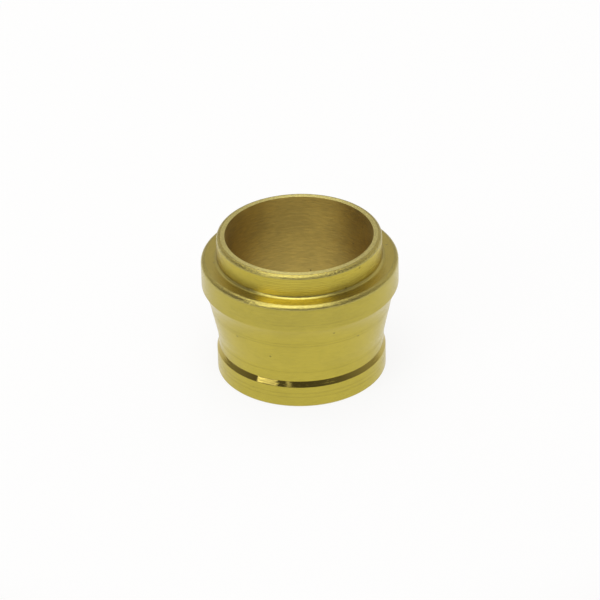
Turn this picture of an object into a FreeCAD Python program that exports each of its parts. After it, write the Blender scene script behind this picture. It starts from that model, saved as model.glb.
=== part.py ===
import FreeCAD
import Part
import math
import os

# Compression olive: one turned brass ring that grips a tube when a nut squeezes it into a cone.
# Frame: origin at the centre of the base, +Z along the tube, standing on its leading ring.

# Tube and bore, in millimetres
tube_diameter = 15.0
tube_clearance = 0.1

# Lengths along the tube, from the base up
ring_length = 2.32
groove_length = 0.59
lead_length = 1.51
seat_length = 3.53
flare_length = 2.0
land_length = 2.82
collar_length = 2.58

# Wall thickness outside the bore
ring_wall = 1.1
groove_wall = 0.77
lip_wall = 0.87
land_wall = 2.5
collar_wall = 0.85

# Slopes of the gripping flank, measured from the tube's axis in degrees
lead_angle = 4.6
seat_angle = 12.0

# Edge break at the foot, and roundings left by the turning tool
base_edge_break = 0.15
land_rounding = 0.45
collar_fillet = 0.3
rim_rounding = 0.4

# Radii that follow from the bore and the walls
bore_radius = tube_diameter / 2 + tube_clearance
ring_radius = bore_radius + ring_wall
groove_radius = bore_radius + groove_wall
lip_radius = bore_radius + lip_wall
seat_foot_radius = lip_radius + lead_length * math.tan(math.radians(lead_angle))
seat_head_radius = seat_foot_radius + seat_length * math.tan(math.radians(seat_angle))
land_radius = bore_radius + land_wall
collar_radius = bore_radius + collar_wall

# Heights that follow from the lengths
lip_height = ring_length + groove_length
seat_foot_height = lip_height + lead_length
seat_head_height = seat_foot_height + seat_length
land_foot_height = seat_head_height + flare_length
shoulder_height = land_foot_height + land_length
rim_height = shoulder_height + collar_length


def at(radius, height):
    """A point of the section, which lies in the XZ plane."""
    return FreeCAD.Vector(radius, 0, height)


def line(start, end):
    """A straight stretch of the section."""
    return Part.LineSegment(start, end).toShape()


def arc_middle(start, centre, end):
    """The point halfway along the arc between two points of a circle."""
    outwards = (start - centre) + (end - centre)
    return centre + outwards.normalize() * (start - centre).Length


def quarter_round(start, centre, end):
    """A quarter circle of the section, as two equal arcs."""
    middle = arc_middle(start, centre, end)
    first = Part.Arc(start, arc_middle(start, centre, middle), middle)
    second = Part.Arc(middle, arc_middle(middle, centre, end), end)
    return [first.toShape(), second.toShape()]


def flare(start, end):
    """A round stretch that leaves the seat cone smoothly and ends at the land."""
    chord = end - start
    chord_angle = math.atan2(chord.x, chord.z)
    bend = chord_angle - math.radians(seat_angle)
    sag = chord.Length / 2 * math.tan(bend / 2)
    inwards = at(-math.cos(chord_angle), math.sin(chord_angle))
    middle = start + chord / 2 + inwards * sag
    return Part.Arc(start, middle, end).toShape()


def leading_ring():
    """From the bore across the base and up the ring that enters the fitting first."""
    base_inner = at(bore_radius, 0)
    base_outer = at(ring_radius - base_edge_break, 0)
    ring_foot = at(ring_radius, base_edge_break)
    return [
        line(base_inner, base_outer),
        line(base_outer, ring_foot),
        line(ring_foot, at(ring_radius, ring_length)),
    ]


def flank():
    """From the ring up: undercut groove, eased lead, straight seat cone, round flare."""
    ring_top = at(ring_radius, ring_length)
    groove_root = at(groove_radius, lip_height)
    lip = at(lip_radius, lip_height)
    seat_foot = at(seat_foot_radius, seat_foot_height)
    seat_head = at(seat_head_radius, seat_head_height)
    land_foot = at(land_radius, land_foot_height)
    return [
        line(ring_top, groove_root),
        line(groove_root, lip),
        line(lip, seat_foot),
        line(seat_foot, seat_head),
        flare(seat_head, land_foot),
    ]


def land_and_shoulder():
    """Up the widest band and in over the flat shoulder that the nut pushes on."""
    land_top = at(land_radius, shoulder_height - land_rounding)
    rounding_centre = at(land_radius - land_rounding, shoulder_height - land_rounding)
    shoulder_outer = at(land_radius - land_rounding, shoulder_height)
    shoulder_inner = at(collar_radius + collar_fillet, shoulder_height)
    return [
        line(at(land_radius, land_foot_height), land_top),
        *quarter_round(land_top, rounding_centre, shoulder_outer),
        line(shoulder_outer, shoulder_inner),
    ]


def collar():
    """Up the thin collar from its fillet and over the rim into the bore."""
    shoulder_inner = at(collar_radius + collar_fillet, shoulder_height)
    fillet_centre = at(collar_radius + collar_fillet, shoulder_height + collar_fillet)
    collar_foot = at(collar_radius, shoulder_height + collar_fillet)
    collar_top = at(collar_radius, rim_height - rim_rounding)
    rounding_centre = at(collar_radius - rim_rounding, rim_height - rim_rounding)
    rim_outer = at(collar_radius - rim_rounding, rim_height)
    rim_inner = at(bore_radius, rim_height)
    return [
        *quarter_round(shoulder_inner, fillet_centre, collar_foot),
        line(collar_foot, collar_top),
        *quarter_round(collar_top, rounding_centre, rim_outer),
        line(rim_outer, rim_inner),
        line(rim_inner, at(bore_radius, 0)),
    ]


def compression_olive():
    """The whole ring, turned about the tube's axis from one closed section."""
    section = Part.Face(Part.Wire(leading_ring() + flank() + land_and_shoulder() + collar()))
    tube_axis = FreeCAD.Vector(0, 0, 1)
    full_turn = 360
    return section.revolve(at(0, 0), tube_axis, full_turn)


os.makedirs("parts", exist_ok=True)
olive = compression_olive()
olive.exportStep("parts/compression_olive.step")
print("valid", olive.isValid(), "solids", len(olive.Solids), "volume mm3", round(olive.Volume, 2))
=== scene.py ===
import math

import bpy
from mathutils import Matrix, Vector

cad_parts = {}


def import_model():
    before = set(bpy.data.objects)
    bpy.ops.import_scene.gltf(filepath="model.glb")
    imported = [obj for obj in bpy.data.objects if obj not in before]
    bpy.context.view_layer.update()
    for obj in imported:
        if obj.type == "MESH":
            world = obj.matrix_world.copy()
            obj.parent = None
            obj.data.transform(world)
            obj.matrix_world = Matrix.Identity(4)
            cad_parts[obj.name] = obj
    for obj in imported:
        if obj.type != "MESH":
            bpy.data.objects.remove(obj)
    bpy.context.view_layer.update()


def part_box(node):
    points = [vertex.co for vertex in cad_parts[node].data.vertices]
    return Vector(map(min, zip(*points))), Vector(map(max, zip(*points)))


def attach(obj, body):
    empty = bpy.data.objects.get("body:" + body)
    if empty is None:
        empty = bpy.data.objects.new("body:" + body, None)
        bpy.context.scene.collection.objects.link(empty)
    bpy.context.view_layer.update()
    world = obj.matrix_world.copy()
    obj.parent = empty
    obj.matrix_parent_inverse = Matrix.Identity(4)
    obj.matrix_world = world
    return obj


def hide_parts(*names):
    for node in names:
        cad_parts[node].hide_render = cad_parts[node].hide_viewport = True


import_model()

NODE = "compression_olive"
MM = 0.001

# Section of the ring in millimetres and degrees, the same as the solid's
box_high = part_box(NODE)[1]
LAND_RADIUS = box_high.x / MM
RIM_HEIGHT = box_high.z / MM
BORE_RADIUS = 7.6
RING_RADIUS = 8.7
GROOVE_RADIUS = 8.37
LIP_RADIUS = 8.47
COLLAR_RADIUS = 8.45
RING_HEIGHT = 2.32
LIP_HEIGHT = 2.91
SEAT_FOOT_HEIGHT = 4.42
SEAT_HEAD_HEIGHT = 7.95
LAND_FOOT_HEIGHT = 9.95
SHOULDER_HEIGHT = 12.77
LEAD_ANGLE = 4.6
SEAT_ANGLE = 12.0
BASE_BREAK = 0.15
LAND_ROUNDING = 0.45
COLLAR_FILLET = 0.3
RIM_ROUNDING = 0.4
LEAD_RISE = SEAT_FOOT_HEIGHT - LIP_HEIGHT
SEAT_RISE = SEAT_HEAD_HEIGHT - SEAT_FOOT_HEIGHT
SEAT_FOOT_RADIUS = LIP_RADIUS + LEAD_RISE * math.tan(math.radians(LEAD_ANGLE))
SEAT_HEAD_RADIUS = SEAT_FOOT_RADIUS + SEAT_RISE * math.tan(math.radians(SEAT_ANGLE))

# Shallow lines left by the tool: how wide, deep and dark, and at what heights on the flank; their
# darkening is painted shade
SCORE_WIDTH = 0.14
SCORE_DEPTH = 0.012
SCORE_SHADE = 0.92
RING_SCORES = (1.15, 1.6)
LEAD_SCORES = (4.05,)
SEAT_SCORES = (7.55, 7.85)

# Mesh fineness: steps round the axis and along each rounding
TURN_STEPS = 384
ARC_STEPS = 10

# How near its ends a straight stretch is eased, and at most what share of it
EASED_EDGE = 0.04
EASED_SHARE = 0.25

# Marks of the lathe in millimetres: feed lines, cut marks, streaks, dashes, grains and cloudy patches
FEED_PITCH = 0.03
CUT_PITCH = 0.2
STREAK_LENGTH = 4.0
STREAK_WIDTH = 0.16
DASH_LENGTH = 0.8
DASH_WIDTH = 0.16
GRAIN_LENGTH = 0.15
GRAIN_WIDTH = 0.1
CLOUD_SIZE = 3.5

# Pits in millimetres, the share of their radius that is at full depth, and how dark they are, which is
# painted shade
PIT_SPACING = 2.0
PIT_RADIUS = 0.14
PIT_DEPTH = 0.02
PIT_FLOOR = 0.3
PIT_SHADE = 0.35

# Where a soft noise mostly lies between 0 and 1, and how far it changes the roughness
NOISE_LOW = 0.3
NOISE_HIGH = 0.7
ROUGHNESS_SPREAD = 0.12

# Brass seen edge on, and the quarter turn that spreads its shine across the tool's lines
EDGE_TINT = (1.0, 0.97, 0.89, 1.0)
QUARTER_TURN = 0.25

# Thin film of oil on the brass
FILM_WEIGHT = 0.5
FILM_ROUGHNESS = 0.6

# Camera in millimetres, degrees and pixels, fitted to the outlines in the photograph
CAMERA_ELEVATION = 31.426
CAMERA_DISTANCE = 402.28
CAMERA_ROLL = -1.303
CAMERA_AIM = (-0.055, 0.0, 7.457)
FOCAL_PIXELS = 3915.1
FRAME_PIXELS = 600
SENSOR_WIDTH = 36.0
NEAR_LIMIT = 10.0

# Floor in metres: a table, and the round white sheet on it, which shows mostly plain white
TABLE_HALF = 1.5
TABLE_COLOUR = (0.68, 0.67, 0.655, 1.0)
SHEET_MIDDLE = (0.0, 0.03, 0.0)
SHEET_RADIUS = 0.07
SHEET_FADE = 0.04
SHEET_COLOUR = (0.9, 0.9, 0.9, 1.0)
SHEET_WHITE = 0.86

# How far in front of the ring the upright lamps stand, in metres
FRONT_PANELS = 0.6

# Light of the room: from where to where it changes along an axis, and its level at both ends
ROOM_COLOUR = (1.0, 0.93, 0.86, 1.0)
FRONT_TO_BACK = (-1.3, 0.8, 0.07, 0.62)
BACK_CORNERS = (0.3, 0.6, 1.0, 1.25)
BACK_WALL = (0.6, 0.88, 1.0, 0.7)
CEILING = (0.6, 1.0, 1.0, 0.75)
LEFT_WALL = (-0.85, -0.45, 0.68, 1.0)


def straight(start, end):
    """A straight stretch of the section, with points near both ends so that only its edges are eased."""
    share = min(EASED_EDGE / math.dist(start, end), EASED_SHARE)
    return [
        (start[0] + (end[0] - start[0]) * t, start[1] + (end[1] - start[1]) * t)
        for t in (0.0, share, 0.5, 1.0 - share, 1.0)
    ]


def scored(finish, start, end, heights):
    """A straight stretch of the section, cut by shallow tool lines at some heights."""
    slope = (end[0] - start[0]) / (end[1] - start[1])

    def at(level, depth):
        return (start[0] + (level - start[1]) * slope - depth, level)

    stretches = []
    plain_start = start
    for height in heights:
        line_start = at(height - SCORE_WIDTH / 2, 0.0)
        line_end = at(height + SCORE_WIDTH / 2, 0.0)
        stretches.append((finish, straight(plain_start, line_start)))
        stretches.append(("score", [line_start, at(height, SCORE_DEPTH), line_end]))
        plain_start = line_end
    stretches.append((finish, straight(plain_start, end)))
    return stretches


def rounding(centre, radius, first_angle, last_angle):
    """A round stretch of the section about a centre, between two angles in degrees."""
    points = []
    for step in range(ARC_STEPS + 1):
        angle = math.radians(first_angle + (last_angle - first_angle) * step / ARC_STEPS)
        points.append((centre[0] + radius * math.cos(angle), centre[1] + radius * math.sin(angle)))
    return points


def flare(start, end):
    """The round stretch that leaves the seat cone smoothly and ends at the land."""
    chord_angle = math.degrees(math.atan2(end[0] - start[0], end[1] - start[1]))
    bend = chord_angle - SEAT_ANGLE
    radius = math.dist(start, end) / (2 * math.sin(math.radians(bend)))
    first_angle = 180 - SEAT_ANGLE
    slope = math.radians(SEAT_ANGLE)
    centre = (start[0] + radius * math.cos(slope), start[1] - radius * math.sin(slope))
    return rounding(centre, radius, first_angle, first_angle - 2 * bend)


def section():
    """The closed section, up the outside and down the bore, as stretches of a finish and its points."""
    base_inner = (BORE_RADIUS, 0.0)
    base_outer = (RING_RADIUS - BASE_BREAK, 0.0)
    ring_foot = (RING_RADIUS, BASE_BREAK)
    ring_top = (RING_RADIUS, RING_HEIGHT)
    groove_root = (GROOVE_RADIUS, LIP_HEIGHT)
    lip = (LIP_RADIUS, LIP_HEIGHT)
    seat_foot = (SEAT_FOOT_RADIUS, SEAT_FOOT_HEIGHT)
    seat_head = (SEAT_HEAD_RADIUS, SEAT_HEAD_HEIGHT)
    land_foot = (LAND_RADIUS, LAND_FOOT_HEIGHT)
    land_top = (LAND_RADIUS, SHOULDER_HEIGHT - LAND_ROUNDING)
    land_centre = (LAND_RADIUS - LAND_ROUNDING, SHOULDER_HEIGHT - LAND_ROUNDING)
    shoulder_outer = (LAND_RADIUS - LAND_ROUNDING, SHOULDER_HEIGHT)
    shoulder_inner = (COLLAR_RADIUS + COLLAR_FILLET, SHOULDER_HEIGHT)
    fillet_centre = (COLLAR_RADIUS + COLLAR_FILLET, SHOULDER_HEIGHT + COLLAR_FILLET)
    collar_foot = (COLLAR_RADIUS, SHOULDER_HEIGHT + COLLAR_FILLET)
    collar_top = (COLLAR_RADIUS, RIM_HEIGHT - RIM_ROUNDING)
    rim_centre = (COLLAR_RADIUS - RIM_ROUNDING, RIM_HEIGHT - RIM_ROUNDING)
    rim_outer = (COLLAR_RADIUS - RIM_ROUNDING, RIM_HEIGHT)
    rim_inner = (BORE_RADIUS, RIM_HEIGHT)
    return [
        ("face", straight(base_inner, base_outer)),
        ("flank", straight(base_outer, ring_foot)),
        *scored("flank", ring_foot, ring_top, RING_SCORES),
        ("groove", straight(ring_top, groove_root)),
        ("groove", straight(groove_root, lip)),
        *scored("flank", lip, seat_foot, LEAD_SCORES),
        *scored("flank", seat_foot, seat_head, SEAT_SCORES),
        ("flank", flare(seat_head, land_foot)),
        ("land", straight(land_foot, land_top)),
        ("edge", rounding(land_centre, LAND_ROUNDING, 0, 90)),
        ("face", straight(shoulder_outer, shoulder_inner)),
        ("fillet", rounding(fillet_centre, COLLAR_FILLET, 270, 180)),
        ("collar", straight(collar_foot, collar_top)),
        ("rim_edge", rounding(rim_centre, RIM_ROUNDING, 0, 90)),
        ("rim", straight(rim_outer, rim_inner)),
        ("bore", straight(rim_inner, base_inner)),
    ]


def turned_mesh(name, stretches, materials):
    """One closed mesh turned about +Z from the section, with a material for each finish."""
    finishes = list(materials)
    outline = []
    stretch_finish = []
    for finish, points in stretches:
        outline.extend(points[:-1])
        stretch_finish.extend([finishes.index(finish)] * (len(points) - 1))
    vertices = []
    for radius, height in outline:
        for turn in range(TURN_STEPS):
            angle = 2 * math.pi * turn / TURN_STEPS
            vertices.append((radius * math.cos(angle) * MM, radius * math.sin(angle) * MM, height * MM))
    faces = []
    face_finish = []
    rings = len(outline)
    for ring in range(rings):
        here = ring * TURN_STEPS
        above = (ring + 1) % rings * TURN_STEPS
        for turn in range(TURN_STEPS):
            after = (turn + 1) % TURN_STEPS
            faces.append((here + turn, here + after, above + after, above + turn))
            face_finish.append(stretch_finish[ring])
    mesh = bpy.data.meshes.new(name)
    mesh.from_pydata(vertices, [], faces)
    for finish in finishes:
        mesh.materials.append(materials[finish])
    mesh.polygons.foreach_set("material_index", face_finish)
    mesh.polygons.foreach_set("use_smooth", [True] * len(faces))
    mesh.update()
    return mesh


class Nodes:
    """Short ways to add and join the nodes of one material, or of the world."""

    # Places of the colour sockets on a Mix node
    FIRST_COLOUR = 6
    SECOND_COLOUR = 7
    MIXED_COLOUR = 2

    def __init__(self, tree):
        self.tree = tree
        tree.nodes.clear()

    def add(self, kind, **inputs):
        """A node with some of its inputs set, or joined when the value is another node's output."""
        node = self.tree.nodes.new(kind)
        for key, value in inputs.items():
            self.feed(node.inputs[key.replace("_", " ")], value)
        return node

    def feed(self, socket, value):
        """Set a socket, or join it to another node's output."""
        if isinstance(value, bpy.types.NodeSocket):
            self.tree.links.new(value, socket)
        else:
            socket.default_value = value

    def ramp(self, source, low, high, at_low, at_high):
        """An even change of a value from one range to another, soft at both ends."""
        limits = {"From_Min": low, "From_Max": high, "To_Min": at_low, "To_Max": at_high}
        node = self.add("ShaderNodeMapRange", Value=source, **limits)
        node.interpolation_type = "SMOOTHSTEP"
        return node.outputs["Result"]

    def maths(self, operation, *terms):
        """A sum, product or the like of some values."""
        node = self.add("ShaderNodeMath")
        node.operation = operation
        for place, term in enumerate(terms):
            self.feed(node.inputs[place], term)
        return node.outputs["Value"]

    def layers(self, *weighted):
        """The sum of some values, each times its weight, without those that weigh nothing."""
        total = None
        for value, weight in weighted:
            if weight:
                term = self.maths("MULTIPLY", value, weight)
                total = term if total is None else self.maths("ADD", total, term)
        return total

    def noise(self, place, size, detail):
        """A soft noise about as coarse as the size, in millimetres."""
        node = self.add("ShaderNodeTexNoise", Vector=place, Scale=1 / size, Detail=detail)
        return node.outputs["Fac"]

    def blend(self, factor, first, second):
        """A colour between two colours."""
        node = self.add("ShaderNodeMix")
        node.data_type = "RGBA"
        self.feed(node.inputs["Factor"], factor)
        self.feed(node.inputs[self.FIRST_COLOUR], first)
        self.feed(node.inputs[self.SECOND_COLOUR], second)
        return node.outputs[self.MIXED_COLOUR]


def shade(colour, level):
    """A lighter or darker shade of a colour, opaque."""
    return (*(part * level for part in colour), 1.0)


def turned_brass(name, colour, roughness, drawn=1.0, film=FILM_WEIGHT, mottle=0.05,
                 feed=0.0, lean=0.0, streaks=0.0, dashes=0.0, grain=0.0):
    """Brass as a lathe leaves it, with an uneven tone, small pits and a thin film of oil.

    Its shine is drawn across the tool's lines, and mottle is how far its tone varies.
    feed and lean are the slopes of the feed lines and of the cut marks.
    streaks, dashes and grain are the heights of these marks in millimetres.
    """
    material = bpy.data.materials.new(name)
    material.use_nodes = True
    nodes = Nodes(material.node_tree)
    metres = nodes.add("ShaderNodeTexCoord").outputs["Object"]
    per_millimetre = (1 / MM, 1 / MM, 1 / MM)
    place = nodes.add("ShaderNodeMapping", Vector=metres, Scale=per_millimetre).outputs["Vector"]
    parts = nodes.add("ShaderNodeSeparateXYZ", Vector=place).outputs

    # Way along the section: up a band, or in over a flat face
    x_squared = nodes.maths("POWER", parts["X"], 2.0)
    y_squared = nodes.maths("POWER", parts["Y"], 2.0)
    radius = nodes.maths("SQRT", nodes.maths("ADD", x_squared, y_squared))
    along = nodes.maths("SUBTRACT", parts["Z"], radius)

    def drawn_noise(length, width, detail):
        """A noise that is long round the axis and narrow along the section."""
        stretched = nodes.maths("MULTIPLY", along, length / width)
        drawn_place = nodes.add("ShaderNodeCombineXYZ", X=parts["X"], Y=parts["Y"], Z=stretched)
        return nodes.noise(drawn_place.outputs["Vector"], length, detail)

    # Feed lines and cut marks run right round the axis
    lines = nodes.add("ShaderNodeTexNoise", Scale=1 / FEED_PITCH, Detail=0.0)
    lines.noise_dimensions = "1D"
    nodes.feed(lines.inputs["W"], along)
    cut = nodes.maths("FRACT", nodes.maths("DIVIDE", along, CUT_PITCH))

    streak = drawn_noise(STREAK_LENGTH, STREAK_WIDTH, 2.0)
    dash = drawn_noise(DASH_LENGTH, DASH_WIDTH, 1.0)
    speck = drawn_noise(GRAIN_LENGTH, GRAIN_WIDTH, 1.0)
    cloud = nodes.noise(place, CLOUD_SIZE, 1.0)

    cells = nodes.add("ShaderNodeTexVoronoi", Vector=place, Scale=1 / PIT_SPACING).outputs["Distance"]
    pit_edge = PIT_RADIUS / PIT_SPACING
    pit = nodes.ramp(cells, PIT_FLOOR * pit_edge, pit_edge, 1.0, 0.0)

    # A grainy finish has a speckled tone, the others a cloudy one with short dashes
    tone = speck if grain else nodes.layers((dash, 0.5), (cloud, 0.5))
    tone = nodes.ramp(tone, NOISE_LOW, NOISE_HIGH, 0.0, 1.0)
    clean = nodes.blend(tone, shade(colour, 1 - mottle), shade(colour, 1 + mottle))
    # The pits are painted darker than the brass round them: painted shade
    pitted = nodes.blend(pit, clean, shade(colour, PIT_SHADE))

    # A feed line is made twice as high, because a noise covers only about half of its range
    feed_height = 2 * feed * FEED_PITCH
    height = nodes.layers(
        (streak, streaks),
        (speck, grain),
        (dash, dashes),
        (lines.outputs["Fac"], feed_height),
        (pit, -PIT_DEPTH),
        (cut, -lean * CUT_PITCH),
    )
    bump = nodes.add("ShaderNodeBump", Strength=1.0, Distance=MM, Height=height)

    around = nodes.add("ShaderNodeTangent")
    around.direction_type = "RADIAL"
    around.axis = "Z"
    smoothest = (1 - ROUGHNESS_SPREAD) * roughness
    roughest = (1 + ROUGHNESS_SPREAD) * roughness
    shader = nodes.add(
        "ShaderNodeBsdfPrincipled",
        Base_Color=pitted,
        Metallic=1.0,
        Roughness=nodes.ramp(streak, NOISE_LOW, NOISE_HIGH, smoothest, roughest),
        Specular_Tint=EDGE_TINT,
        Anisotropic=drawn,
        Anisotropic_Rotation=QUARTER_TURN,
        Coat_Weight=film,
        Coat_Roughness=FILM_ROUGHNESS,
        Normal=bump.outputs["Normal"],
        Tangent=around.outputs["Tangent"],
    )
    nodes.add("ShaderNodeOutputMaterial", Surface=shader.outputs["BSDF"])
    return material


def brass_finishes():
    """The finish of each kind of stretch of the section, several of them copies of one brass made lighter
    or darker stretch by stretch: painted light and shade.
    """
    yellow = (0.487, 0.402, 0.056)
    # Brass darkened along the tool lines: painted shade
    score_line_shade = shade(yellow, SCORE_SHADE)[:3]
    # Darker brass on the land than on the flank: painted shade
    land_painted_shade = (0.468, 0.39, 0.064)
    # Paler, bluer brass on the land's rounded edge, the collar's fillet and the rim's rounded edge, so
    # their highlights show whiter: painted highlight; the two rounded edges are also a little darker,
    # which tones their highlights down
    edge_painted_highlight = (0.465, 0.398, 0.098)
    pale = (0.485, 0.415, 0.1)
    rim_edge_painted_highlight = (0.465, 0.395, 0.1)
    # Lighter brass on the collar and on the shoulder's face than on the flank: painted light
    bright = (0.55, 0.45, 0.065)
    golden = (0.55, 0.458, 0.097)
    # Darker brass in the groove than on the flank: painted shade
    groove_painted_shade = (0.43, 0.345, 0.08)
    # Lighter brass on the rim's flat face than on the flank: painted light
    light = (0.645, 0.58, 0.2)
    # The bore's own more orange, hazier brass, also set lighter than the flank to lift the dim bore:
    # partly painted light
    ochre = (0.53, 0.4, 0.093)
    return {
        "flank": turned_brass("brass_flank", yellow, 0.17, feed=0.1, streaks=0.004),
        "score": turned_brass("brass_score", score_line_shade, 0.2, feed=0.1),
        "land": turned_brass("brass_land", land_painted_shade, 0.17, feed=0.14, streaks=0.002),
        "edge": turned_brass("brass_edge", edge_painted_highlight, 0.13, mottle=0.2, feed=0.05, grain=0.03),
        "fillet": turned_brass("brass_fillet", pale, 0.13, mottle=0.1, feed=0.05, grain=0.015),
        "rim_edge": turned_brass("brass_rim_edge", rim_edge_painted_highlight, 0.15, mottle=0.25, feed=0.08, grain=0.045),
        "collar": turned_brass("brass_collar", bright, 0.15, feed=0.12, lean=0.065, streaks=0.004),
        "face": turned_brass("brass_face", golden, 0.14, feed=0.1, streaks=0.003),
        "groove": turned_brass("brass_groove", groove_painted_shade, 0.07, drawn=0.8, film=0.0, feed=0.02, dashes=0.008),
        "rim": turned_brass("brass_rim", light, 0.4, drawn=0.7, mottle=0.2, grain=0.036),
        "bore": turned_brass("brass_bore", ochre, 0.47, drawn=0.7, film=1.0, mottle=0.15, dashes=0.03),
    }


def olive():
    """The ring itself, standing in for the plain solid."""
    mesh = turned_mesh("olive_turned", section(), brass_finishes())
    piece = bpy.data.objects.new("olive_turned", mesh)
    bpy.context.collection.objects.link(piece)
    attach(piece, "root")
    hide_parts(NODE)


def floor_material():
    """A round white sheet that keeps the ring's soft shadow, on a pale grey table."""
    material = bpy.data.materials.new("floor_white")
    material.use_nodes = True
    nodes = Nodes(material.node_tree)
    place = nodes.add("ShaderNodeTexCoord").outputs["Object"]
    reach = nodes.add("ShaderNodeVectorMath")
    reach.operation = "DISTANCE"
    nodes.feed(reach.inputs[0], place)
    nodes.feed(reach.inputs[1], SHEET_MIDDLE)
    sheet = nodes.ramp(reach.outputs["Value"], SHEET_RADIUS, SHEET_RADIUS + SHEET_FADE, 1.0, 0.0)
    paper = nodes.add("ShaderNodeBsdfDiffuse", Color=nodes.blend(sheet, TABLE_COLOUR, SHEET_COLOUR))
    white = nodes.add("ShaderNodeEmission")

    # Only the camera and mirror images see the plain white, and all other light meets the paper
    rays = nodes.add("ShaderNodeLightPath").outputs
    mirrored = nodes.maths("ADD", rays["Is Glossy Ray"], rays["Is Transmission Ray"])
    seen = nodes.maths("ADD", rays["Is Camera Ray"], mirrored)
    glow = nodes.maths("MULTIPLY", sheet, SHEET_WHITE)
    mix = nodes.add("ShaderNodeMixShader", Fac=nodes.maths("MULTIPLY", seen, glow))
    nodes.feed(mix.inputs[1], paper.outputs["BSDF"])
    nodes.feed(mix.inputs[2], white.outputs["Emission"])
    nodes.add("ShaderNodeOutputMaterial", Surface=mix.outputs["Shader"])
    return material


def floor():
    """The plane that the ring stands on."""
    corners = [(x * TABLE_HALF, y * TABLE_HALF, 0) for x, y in ((-1, -1), (1, -1), (1, 1), (-1, 1))]
    mesh = bpy.data.meshes.new("floor")
    mesh.from_pydata(corners, [], [(0, 1, 2, 3)])
    mesh.materials.append(floor_material())
    plane = bpy.data.objects.new("floor", mesh)
    bpy.context.collection.objects.link(plane)


def panel(name, shape, middle, facing, width, height, radiance):
    """A flat lamp of even brightness, in metres."""
    lamp = bpy.data.lights.new(name, "AREA")
    lamp.shape = shape
    lamp.size = width
    lamp.size_y = height
    lamp.energy = radiance * math.pi * width * height
    if shape == "ELLIPSE":
        lamp.energy *= math.pi / 4
    lamp_object = bpy.data.objects.new(name, lamp)
    lamp_object.location = middle
    lamp_object.rotation_euler = Vector(facing).to_track_quat("-Z", "Y").to_euler()
    bpy.context.collection.objects.link(lamp_object)


def front_panel(name, left, right, low, high, radiance):
    """An upright lamp in front of the ring, between two azimuths and two elevations in degrees."""
    edge_left = FRONT_PANELS * math.tan(math.radians(left))
    edge_right = FRONT_PANELS * math.tan(math.radians(right))
    middle_x = (edge_left + edge_right) / 2
    reach = math.hypot(FRONT_PANELS, middle_x)
    edge_low = reach * math.tan(math.radians(low))
    edge_high = reach * math.tan(math.radians(high))
    middle = (middle_x, -FRONT_PANELS, (edge_low + edge_high) / 2)
    panel(name, "RECTANGLE", middle, (0, 1, 0), edge_right - edge_left, edge_high - edge_low, radiance)


def lamps():
    """A wide lamp in front, a window and a narrow strip below it, and an oval lamp overhead."""
    front_panel("front", left=-61, right=45, low=34, high=82, radiance=1.75)
    front_panel("window", left=-61, right=-34, low=16, high=34, radiance=1.4)
    front_panel("strip", left=-20.5, right=-16.5, low=15, high=34, radiance=0.9)
    overhead = (-0.06, 0.1, 0.6)
    panel("overhead", "ELLIPSE", overhead, facing=(0, 0, -1), width=0.48, height=0.62, radiance=1.7)


def world():
    """A dim, warm room: darkest behind the camera, lightest in the back corners, dimmer at the left."""
    room = bpy.data.worlds.new("room")
    room.use_nodes = True
    nodes = Nodes(room.node_tree)
    direction = nodes.add("ShaderNodeTexCoord").outputs["Generated"]
    parts = nodes.add("ShaderNodeSeparateXYZ", Vector=direction).outputs
    level = nodes.ramp(parts["Y"], *FRONT_TO_BACK)
    for axis, change in (("Y", BACK_CORNERS), ("Y", BACK_WALL), ("Z", CEILING), ("X", LEFT_WALL)):
        level = nodes.maths("MULTIPLY", level, nodes.ramp(parts[axis], *change))
    background = nodes.add("ShaderNodeBackground", Color=ROOM_COLOUR, Strength=level)
    nodes.add("ShaderNodeOutputWorld", Surface=background.outputs["Background"])
    bpy.context.scene.world = room


def camera():
    """The photograph's viewpoint."""
    rise = math.radians(CAMERA_ELEVATION)
    roll = math.radians(CAMERA_ROLL)
    back = Vector((0, -math.cos(rise), math.sin(rise)))
    level_right = Vector((1, 0, 0))
    level_up = back.cross(level_right)
    right = level_right * math.cos(roll) + level_up * math.sin(roll)
    up = level_up * math.cos(roll) - level_right * math.sin(roll)
    lens = bpy.data.cameras.new("camera")
    lens.sensor_width = SENSOR_WIDTH
    lens.lens = FOCAL_PIXELS * SENSOR_WIDTH / FRAME_PIXELS
    lens.clip_start = NEAR_LIMIT * MM
    camera_object = bpy.data.objects.new("camera", lens)
    place = (Vector(CAMERA_AIM) + back * CAMERA_DISTANCE) * MM
    turn = Matrix((right, up, back)).transposed().to_4x4()
    camera_object.matrix_world = Matrix.Translation(place) @ turn
    bpy.context.collection.objects.link(camera_object)
    bpy.context.scene.camera = camera_object


bpy.context.scene.view_settings.view_transform = "Standard"
olive()
floor()
lamps()
world()
camera()
